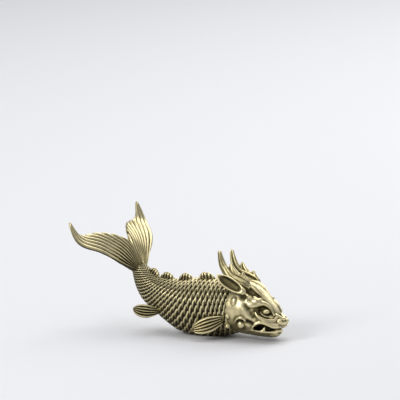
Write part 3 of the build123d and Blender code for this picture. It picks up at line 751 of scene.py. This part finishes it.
def pressed(points):
    """Head form with its surface pressed inwards by the hollows."""
    normals = unit(np.cross(np.gradient(points, axis=1), np.gradient(points, axis=0)))
    middle = points.mean(axis=1, keepdims=True)
    normals = normals * np.sign(np.sum(normals * (points - middle), axis=-1, keepdims=True))
    return points - normals * hollow_depth(points)[..., None]


def head_top(reach, out):
    """Height of the plain head at a reach and a distance from the middle."""
    top, bottom, half, fullness = head_section(reach)
    fullness = fullness + CROWN_ROUNDING
    share = np.clip(1.0 - np.abs(out / half) ** (2.0 / fullness), 0.0, 1.0) ** (fullness / 2.0)
    return (top + bottom) / 2 + (top - bottom) / 2 * share


def flute_rows(number):
    """One flute of the forehead: a line that nears the middle a little and follows the plain head."""
    reach = np.linspace(*FLUTE_REACH, FLUTE_POINTS)
    out = number * FLUTE_SPACING * np.linspace(1.05, 0.80, FLUTE_POINTS)
    taper = np.sin(np.pi * np.linspace(0.12, 0.88, FLUTE_POINTS)) ** 0.5
    return np.stack([reach, out, head_top(reach, out) + FLUTE_STANDING, FLUTE_RADIUS * taper], axis=1)


def skull_shells():
    """Head above the parting, with the mouth drawn in to its core, and its raised lines, flutes and bumps."""
    points = pressed(head_form())
    reach, across, upward = points[..., 0], points[..., 1], points[..., 2]
    edge = np.array(MOUTH_EDGE)
    open_height = np.interp(reach, edge[:, 0], edge[:, 1], left=-9.0)
    inside = smooth_step(open_height - upward, -0.15, 0.25) * (reach > edge[0, 0])
    core_reach, core_half = MOUTH_CORE
    drawn = np.clip(across, -core_half, core_half)
    points[..., 1] = across + (drawn - across) * inside
    points[..., 0] = reach + (np.minimum(reach, core_reach) - reach) * inside
    floor = PARTING_HEIGHT - CHEEK_OVERLAP * (1.0 - smooth_step(reach, 3.5, 7.4))
    points[..., 2] = np.maximum(upward, floor)
    shells = [shell(points)]
    shells += [rod(flute_rows(number)) for number in range(-FLUTES + 1, FLUTES)]
    for side in SIDES.values():
        shells += [rod(on_side(rows, side)) for rows in HEAD_LINES.values()]
        shells += [ball((x, y * side, z), radii) for x, y, z, *radii in HEAD_BUMPS]
    return shells


def jaw_shells():
    """Head below the parting, ended short of the snout, with a lip, chin and fangs."""
    points = head_form()
    points[..., 1] *= 1.0 - 0.03 * (1.0 - smooth_step(points[..., 0], 4.5, 7.4))
    points[..., 2] = np.minimum(points[..., 2], PARTING_HEIGHT)
    share = (points[..., 0] - HEAD_SECTIONS[0][0]) / (HEAD_SECTIONS[-1][0] - HEAD_SECTIONS[0][0])
    points[..., 0] = 0.05 + share * (JAW_REACH - 0.05)
    shells = [shell(points)]
    for side in SIDES.values():
        shells += [rod(on_side(rows, side)) for rows in JAW_LINES.values()]
        shells += [ball((x, y * side, z), radii) for x, y, z, *radii in JAW_BUMPS]
    return shells


def antler_shells(side):
    """One antler: each branch is three strands side by side in its plane, with grooves between them."""
    shells = []
    for branch in ANTLER_BRANCHES:
        rows = resample(on_side(branch, side), 24)
        aims = line_aims(rows[:, :3])
        beside = np.cross(aims, np.broadcast_to([0.0, 1.0, 0.0], aims.shape))
        for step in (-1, 0, 1):
            strand = rows.copy()
            strand[:, :3] += beside * (STRAND_SPACING * step * rows[:, 3])[:, None]
            strand[:, 1] += side * STRAND_BULGE * (1 - abs(step)) * rows[:, 3]
            strand[:, 3] *= STRAND_RADIUS
            shells.append(rod(strand))
    return shells


def eye_points(side):
    """One eye: a bead flattened from above, seen from its pole, where a small pupil is sunk."""
    mirror = np.array([1.0, side, 1.0])
    aim = unit((np.array(EYE_AIM) * mirror) @ head_axes())
    across = square_to(UP, aim)
    other = np.cross(aim, across)
    polar = np.radians(np.linspace(2.0, 178.0, 60))[:, None]
    turn = circle(64)
    radius = EYE_RADIUS * (1.0 - PUPIL_DEPTH * np.exp(-((polar / PUPIL_SPAN) ** 4)))
    outward = (radius * np.cos(polar) * np.ones_like(turn))[..., None] * aim
    ring = (EYE_HEIGHT * radius * np.sin(polar) * np.cos(turn))[..., None] * across
    ring = ring + (radius * np.sin(polar) * np.sin(turn))[..., None] * other
    return head_to_frame(np.array(EYE_PLACE) * mirror) + outward + ring


def new_mesh(name, vertices, faces):
    """A mesh in metres from vertices in millimetres."""
    mesh = bpy.data.meshes.new(name)
    mesh.from_pydata((vertices * MILLIMETRE).tolist(), [], faces)
    mesh.update()
    return mesh


def coordinates(mesh):
    """Vertex places and normals of a mesh, in millimetres, and its edges."""
    places = np.empty(3 * len(mesh.vertices), np.float32)
    normals = np.empty(3 * len(mesh.vertices), np.float32)
    edges = np.empty(2 * len(mesh.edges), np.int32)
    mesh.vertices.foreach_get("co", places)
    mesh.vertex_normals.foreach_get("vector", normals)
    mesh.edges.foreach_get("vertices", edges)
    return places.reshape(-1, 3) / MILLIMETRE, normals.reshape(-1, 3), edges.reshape(-1, 2)


def relaxed(places, edges, rounds, share=0.5):
    """Places moved again and again a share of the way to the mean of their neighbours."""
    count = len(places)
    number = np.bincount(edges.ravel(), minlength=count)[:, None].clip(1)
    here, there = edges[:, 0], edges[:, 1]
    for _ in range(rounds):
        total = [
            np.bincount(here, places[there, k], count) + np.bincount(there, places[here, k], count)
            for k in range(3)
        ]
        places = places + share * (np.stack(total, axis=1) / number - places)
    return places


def largest_part(count, edges):
    """The vertices of the largest connected part: each takes the lowest number met until none changes."""
    labels = np.arange(count)
    while True:
        lowest = labels.copy()
        np.minimum.at(lowest, edges[:, 0], labels[edges[:, 1]])
        np.minimum.at(lowest, edges[:, 1], labels[edges[:, 0]])
        lowest = lowest[lowest]
        if np.array_equal(lowest, labels):
            return labels == np.bincount(labels).argmax()
        labels = lowest


def proudness(mesh, fine_rounds, broad_rounds):
    """How far each vertex stands proud of its surroundings, near and far, as one value from 0 to 1."""
    places, normals, edges = coordinates(mesh)
    near = np.sum((places - relaxed(places, edges, fine_rounds)) * normals, axis=1)
    far = np.sum((places - relaxed(places, edges, broad_rounds)) * normals, axis=1)
    near_weight, near_scale = NEAR_RELIEF
    far_weight, far_scale = FAR_RELIEF
    # Near forms mark patina and wear; far forms darken broad recesses as painted shade and lighten broad
    # swellings
    relief = PLAIN_RELIEF + near_weight * np.tanh(near / near_scale) + far_weight * np.tanh(far / far_scale)
    return relief.clip(0.0, 1.0)


def cast(name, shells, grain):
    """Shells on the head run together: voxels of a grain, smoothed, with only the largest part kept."""
    vertices, faces = join(shells)
    mould = bpy.data.objects.new(f"{name}_mould", new_mesh(f"{name}_mould", head_to_frame(vertices), faces))
    bpy.context.scene.collection.objects.link(mould)
    remesh = mould.modifiers.new("Run together", "REMESH")
    remesh.mode = "VOXEL"
    remesh.voxel_size = grain * MILLIMETRE
    mesh = bpy.data.meshes.new_from_object(mould.evaluated_get(bpy.context.evaluated_depsgraph_get()))
    bpy.data.objects.remove(mould)
    places, _, edges = coordinates(mesh)
    kept = largest_part(len(places), edges)
    corners = np.empty(len(mesh.loops), np.int32)
    mesh.loops.foreach_get("vertex_index", corners)
    quads = corners.reshape(-1, 4)
    quads = (np.cumsum(kept) - 1)[quads[kept[quads[:, 0]]]]
    return new_mesh(name, relaxed(places, edges, CAST_SMOOTHING)[kept], quads.tolist())


def show(mesh, node, material, relief):
    """A finished piece: shaded smooth, marked with relief for wear and painted light, and standing for its
    solid on the one rigid body.

    Painted light brightens what faces up, and painted shade darkens what faces down.
    """
    upward = coordinates(mesh)[1][:, 2]
    # Painted light on what faces up, painted shade on what faces down
    relief = relief + PAINTED_LIGHT_ABOVE * upward.clip(0.0, 1.0) + PAINTED_SHADE_BELOW * upward.clip(-1.0, 0.0)
    relief = relief.clip(LEAST_RELIEF, 1.0)
    attribute = mesh.attributes.new("relief", "FLOAT", "POINT")
    attribute.data.foreach_set("value", relief.astype(np.float32))
    mesh.shade_smooth()
    mesh.materials.clear()
    mesh.materials.append(material)
    piece = bpy.data.objects.new(f"{node}_cast", mesh)
    bpy.context.scene.collection.objects.link(piece)
    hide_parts(node)
    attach(piece, "root")


def show_grid(node, slot, material, points, relief):
    """A piece made as a grid of rings, with a middle relief for the vertex that closes each end."""
    ends = [relief[0].mean(), relief[-1].mean()]
    show(new_mesh(node, *shell(points)), node, material, np.concatenate([relief.ravel(), ends]))


def link(tree, source, target):
    """Join two sockets of a node tree."""
    tree.links.new(source, target)


def wear_group():
    """Node group that turns relief into aged brass: colour, roughness, metal share and a fine height."""
    name = "Aged brass wear"
    if name in bpy.data.node_groups:
        return bpy.data.node_groups[name]
    group = bpy.data.node_groups.new(name, "ShaderNodeTree")
    face = group.interface
    for socket, kind in (
        ("Relief", "NodeSocketFloat"),
        ("Worn", "NodeSocketColor"),
        ("Toned", "NodeSocketColor"),
        ("Patina", "NodeSocketColor"),
        ("Wear", "NodeSocketFloat"),
    ):
        face.new_socket(socket, in_out="INPUT", socket_type=kind)
    for socket, kind in (
        ("Colour", "NodeSocketColor"),
        ("Roughness", "NodeSocketFloat"),
        ("Metal", "NodeSocketFloat"),
        ("Height", "NodeSocketFloat"),
    ):
        face.new_socket(socket, in_out="OUTPUT", socket_type=kind)
    nodes = group.nodes
    entry = nodes.new("NodeGroupInput")
    leave = nodes.new("NodeGroupOutput")
    where = nodes.new("ShaderNodeTexCoord")

    def noise(scale, detail, rough):
        texture = nodes.new("ShaderNodeTexNoise")
        texture.inputs["Scale"].default_value = scale
        texture.inputs["Detail"].default_value = detail
        texture.inputs["Roughness"].default_value = rough
        link(group, where.outputs["Object"], texture.inputs["Vector"])
        return texture.outputs["Fac"]

    def math(kind, first, second):
        node = nodes.new("ShaderNodeMath")
        node.operation = kind
        for socket, value in zip(node.inputs, (first, second)):
            if isinstance(value, float):
                socket.default_value = value
            else:
                link(group, value, socket)
        return node.outputs["Value"]

    def blend(factor, first, second):
        node = nodes.new("ShaderNodeMix")
        node.data_type = "RGBA"
        link(group, factor, node.inputs[0])
        link(group, first, node.inputs[6])
        link(group, second, node.inputs[7])
        return node.outputs[2]

    def ramp(value, low, high, start=0.0, end=1.0):
        node = nodes.new("ShaderNodeMapRange")
        node.interpolation_type = "SMOOTHSTEP"
        link(group, value, node.inputs["Value"])
        for socket, number in zip(("From Min", "From Max", "To Min", "To Max"), (low, high, start, end)):
            node.inputs[socket].default_value = number
        return node.outputs["Result"]

    blotch = math("MULTIPLY", math("SUBTRACT", noise(420.0, 5.0, 0.62), 0.5), 0.42)
    speck = math("MULTIPLY", math("SUBTRACT", noise(3200.0, 3.0, 0.6), 0.5), 0.16)
    worn = math("ADD", entry.outputs["Relief"], entry.outputs["Wear"])
    height = math("ADD", worn, math("ADD", blotch, speck))
    filmed = ramp(height, 0.22, 0.52)
    rubbed = ramp(height, 0.50, 0.86)
    colour = blend(filmed, entry.outputs["Patina"], entry.outputs["Toned"])
    colour = blend(rubbed, colour, entry.outputs["Worn"])
    link(group, colour, leave.inputs["Colour"])
    rough = math("ADD", ramp(height, 0.25, 0.85, 0.58, 0.31), math("MULTIPLY", speck, 0.6))
    link(group, rough, leave.inputs["Roughness"])
    link(group, ramp(height, 0.15, 0.50, 0.75, 1.0), leave.inputs["Metal"])
    coarse = math("MULTIPLY", noise(2600.0, 4.0, 0.65), 0.6)
    fine = math("MULTIPLY", noise(9000.0, 2.0, 0.5), 0.4)
    link(group, math("ADD", coarse, fine), leave.inputs["Height"])
    return group


def brass(name, settings):
    """Aged brass for one group of pieces, with its own wear."""
    material = bpy.data.materials.get(name)
    if material:
        return material
    material = bpy.data.materials.new(name)
    material.use_nodes = True
    tree = material.node_tree
    metal = tree.nodes["Principled BSDF"]
    relief = tree.nodes.new("ShaderNodeAttribute")
    relief.attribute_name = "relief"
    film_and_shade = tree.nodes.new("ShaderNodeGroup")
    film_and_shade.node_tree = wear_group()
    link(tree, relief.outputs["Fac"], film_and_shade.inputs["Relief"])
    film_and_shade.inputs["Wear"].default_value = WEAR[name]
    for socket in ("worn", "toned", "patina"):
        film_and_shade.inputs[socket.capitalize()].default_value = (*getattr(settings, socket), 1.0)
    bump = tree.nodes.new("ShaderNodeBump")
    bump.inputs["Strength"].default_value = 0.35
    bump.inputs["Distance"].default_value = 0.00006
    link(tree, film_and_shade.outputs["Height"], bump.inputs["Height"])
    link(tree, film_and_shade.outputs["Colour"], metal.inputs["Base Color"])
    link(tree, film_and_shade.outputs["Roughness"], metal.inputs["Roughness"])
    link(tree, film_and_shade.outputs["Metal"], metal.inputs["Metallic"])
    link(tree, bump.outputs["Normal"], metal.inputs["Normal"])
    return material


class CARP_OT_body(Operator):
    """Build the scaled body"""

    bl_idname = "carp.body"
    bl_label = "Body"

    def execute(self, context):
        scene = context.scene
        metal = brass("Body brass", scene.carp_brass)
        show_grid("body", "body", metal, *body_points(scene.carp_body))
        return {"FINISHED"}


class CARP_OT_head(Operator):
    """Build the skull, the jaw and the eyes"""

    bl_idname = "carp.head"
    bl_label = "Head"

    def execute(self, context):
        metal = brass("Head brass", context.scene.carp_brass)
        for node, shells in (("skull", skull_shells()), ("lower_jaw", jaw_shells())):
            mesh = cast(node, shells, HEAD_GRAIN)
            places = (coordinates(mesh)[0] - NECK) @ head_axes().T
            # Painted shade in the hollows of the head and inside the open mouth
            film_and_shade = HOLLOW_PAINTED_SHADE * hollow_depth(places) + MOUTH_PAINTED_SHADE * mouth_depth(places)
            show(mesh, node, metal, proudness(mesh, *CAST_ROUNDS) - film_and_shade)
        bright = brass("Eye brass", context.scene.carp_brass)
        for name, side in SIDES.items():
            mesh = new_mesh(f"{name}_eye", *shell(eye_points(side)))
            show(mesh, f"{name}_eye", bright, proudness(mesh, *EYE_ROUNDS))
        return {"FINISHED"}


class CARP_OT_antlers(Operator):
    """Build the grooved antlers"""

    bl_idname = "carp.antlers"
    bl_label = "Antlers"

    def execute(self, context):
        metal = brass("Horn brass", context.scene.carp_brass)
        for name, side in SIDES.items():
            mesh = cast(f"{name}_antler", antler_shells(side), ANTLER_GRAIN)
            show(mesh, f"{name}_antler", metal, proudness(mesh, *CAST_ROUNDS))
        return {"FINISHED"}


class CARP_OT_ears(Operator):
    """Build the hollowed ears"""

    bl_idname = "carp.ears"
    bl_label = "Ears"

    def execute(self, context):
        metal = brass("Horn brass", context.scene.carp_brass)
        for name, side in SIDES.items():
            show_grid(f"{name}_ear", "horns", metal, *ear_points(side))
        return {"FINISHED"}


class CARP_OT_fins(Operator):
    """Build the paired fins"""

    bl_idname = "carp.fins"
    bl_label = "Paired fins"

    def execute(self, context):
        scene = context.scene
        metal = brass("Fin brass", scene.carp_brass)
        for name, side in SIDES.items():
            for fin in FINS:
                show_grid(f"{name}_{fin}", "fins", metal, *fin_points(fin, side, scene.carp_fins))
        return {"FINISHED"}


class CARP_OT_crests(Operator):
    """Build the crests along the back"""

    bl_idname = "carp.crests"
    bl_label = "Dorsal crests"

    def execute(self, context):
        scene = context.scene
        metal = brass("Fin brass", scene.carp_brass)
        for number, (station, size) in enumerate(CRESTS, start=1):
            points, relief = crest_points(station, size, scene.carp_fins)
            show_grid(f"dorsal_crest_{number}", "fins", metal, points, relief)
        return {"FINISHED"}


class CARP_OT_tail(Operator):
    """Build the two tail lobes"""

    bl_idname = "carp.tail"
    bl_label = "Tail lobes"

    def execute(self, context):
        scene = context.scene
        metal = brass("Fin brass", scene.carp_brass)
        for name, side in SIDES.items():
            show_grid(f"{name}_tail_lobe", "fins", metal, *lobe_points(side, scene.carp_fins))
        return {"FINISHED"}


class CARP_OT_stage(Operator):
    """Set the floor, the light and the camera"""

    bl_idname = "carp.stage"
    bl_label = "Stage"

    def execute(self, context):
        settings = context.scene.carp_stage
        floor_mesh = bpy.data.meshes.new("floor")
        corners = [(x * FLOOR_HALF, y * FLOOR_HALF, 0.0) for x, y in ((-1, -1), (1, -1), (1, 1), (-1, 1))]
        floor_mesh.from_pydata(corners, [], [(0, 1, 2, 3)])
        floor = bpy.data.objects.new("floor", floor_mesh)
        context.scene.collection.objects.link(floor)
        paint = bpy.data.materials.new("Pale floor")
        paint.use_nodes = True
        shader = paint.node_tree.nodes["Principled BSDF"]
        shader.inputs["Base Color"].default_value = (*settings.floor_colour, 1.0)
        shader.inputs["Roughness"].default_value = FLOOR_ROUGHNESS
        floor_mesh.materials.append(paint)
        self.set_world(context)
        self.set_lights(context)
        self.set_camera(context, settings)
        context.scene.view_settings.view_transform = "Standard"
        return {"FINISHED"}

    def set_world(self, context):
        """An even pale sky."""
        world = bpy.data.worlds.new("Studio")
        world.use_nodes = True
        sky = world.node_tree.nodes["Background"]
        sky.inputs["Color"].default_value = SKY_COLOUR
        sky.inputs["Strength"].default_value = SKY_STRENGTH
        context.scene.world = world

    def set_lights(self, context):
        """Soft lights from overhead, from the camera's left and from behind."""
        for name, (place, size, power) in LAMPS.items():
            lamp = bpy.data.lights.new(name, "AREA")
            lamp.size = size
            lamp.energy = power
            light = bpy.data.objects.new(name, lamp)
            light.location = place
            light.rotation_euler = (-Vector(place)).to_track_quat("-Z", "Y").to_euler()
            context.scene.collection.objects.link(light)

    def set_camera(self, context, settings):
        """A long lens that looks from the photograph's side, with the figurine low in the frame."""
        turn, lift = np.radians(settings.azimuth), np.radians(settings.elevation)
        toward = Vector((np.sin(turn) * np.cos(lift), -np.cos(turn) * np.cos(lift), np.sin(lift)))
        right = Vector((np.cos(turn), np.sin(turn), 0.0))
        place = toward * settings.distance
        aim = right * CAMERA_AIM[0] + toward.cross(right) * CAMERA_AIM[1]
        lens = bpy.data.cameras.new("camera")
        lens.sensor_width = 36.0
        lens.lens = lens.sensor_width * settings.distance / settings.view_width
        lens.clip_start = 0.01
        camera = bpy.data.objects.new("camera", lens)
        camera.location = place
        camera.rotation_euler = (aim - place).to_track_quat("-Z", "Y").to_euler()
        context.scene.collection.objects.link(camera)
        context.scene.camera = camera


class CARP_PT_panel(Panel):
    """Settings and steps of the figurine"""

    bl_idname = "CARP_PT_panel"
    bl_label = "Dragon carp"
    bl_space_type = "VIEW_3D"
    bl_region_type = "UI"
    bl_category = "Carp"

    def draw(self, context):
        scene = context.scene
        for settings in (scene.carp_body, scene.carp_fins, scene.carp_brass, scene.carp_stage):
            box = self.layout.box()
            for name in settings.__annotations__:
                box.prop(settings, name)
        for step in STEPS:
            self.layout.operator(step.bl_idname)


GROUPS = {
    "carp_body": BodySettings,
    "carp_fins": FinSettings,
    "carp_brass": BrassSettings,
    "carp_stage": StageSettings,
}
STEPS = (
    CARP_OT_body,
    CARP_OT_head,
    CARP_OT_antlers,
    CARP_OT_ears,
    CARP_OT_fins,
    CARP_OT_crests,
    CARP_OT_tail,
    CARP_OT_stage,
)


def register():
    """Add the settings, steps and panel."""
    for entry in (*GROUPS.values(), *STEPS, CARP_PT_panel):
        bpy.utils.register_class(entry)
    for name, group in GROUPS.items():
        setattr(bpy.types.Scene, name, PointerProperty(type=group))


def unregister():
    """Take the settings, steps and panel away."""
    for name in GROUPS:
        delattr(bpy.types.Scene, name)
    for entry in reversed((*GROUPS.values(), *STEPS, CARP_PT_panel)):
        bpy.utils.unregister_class(entry)


def main():
    """Build the figurine and its stage in order."""
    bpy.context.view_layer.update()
    register()
    bpy.ops.carp.body()
    bpy.ops.carp.head()
    bpy.ops.carp.antlers()
    bpy.ops.carp.ears()
    bpy.ops.carp.fins()
    bpy.ops.carp.crests()
    bpy.ops.carp.tail()
    bpy.ops.carp.stage()


if __name__ == "__main__":
    main()
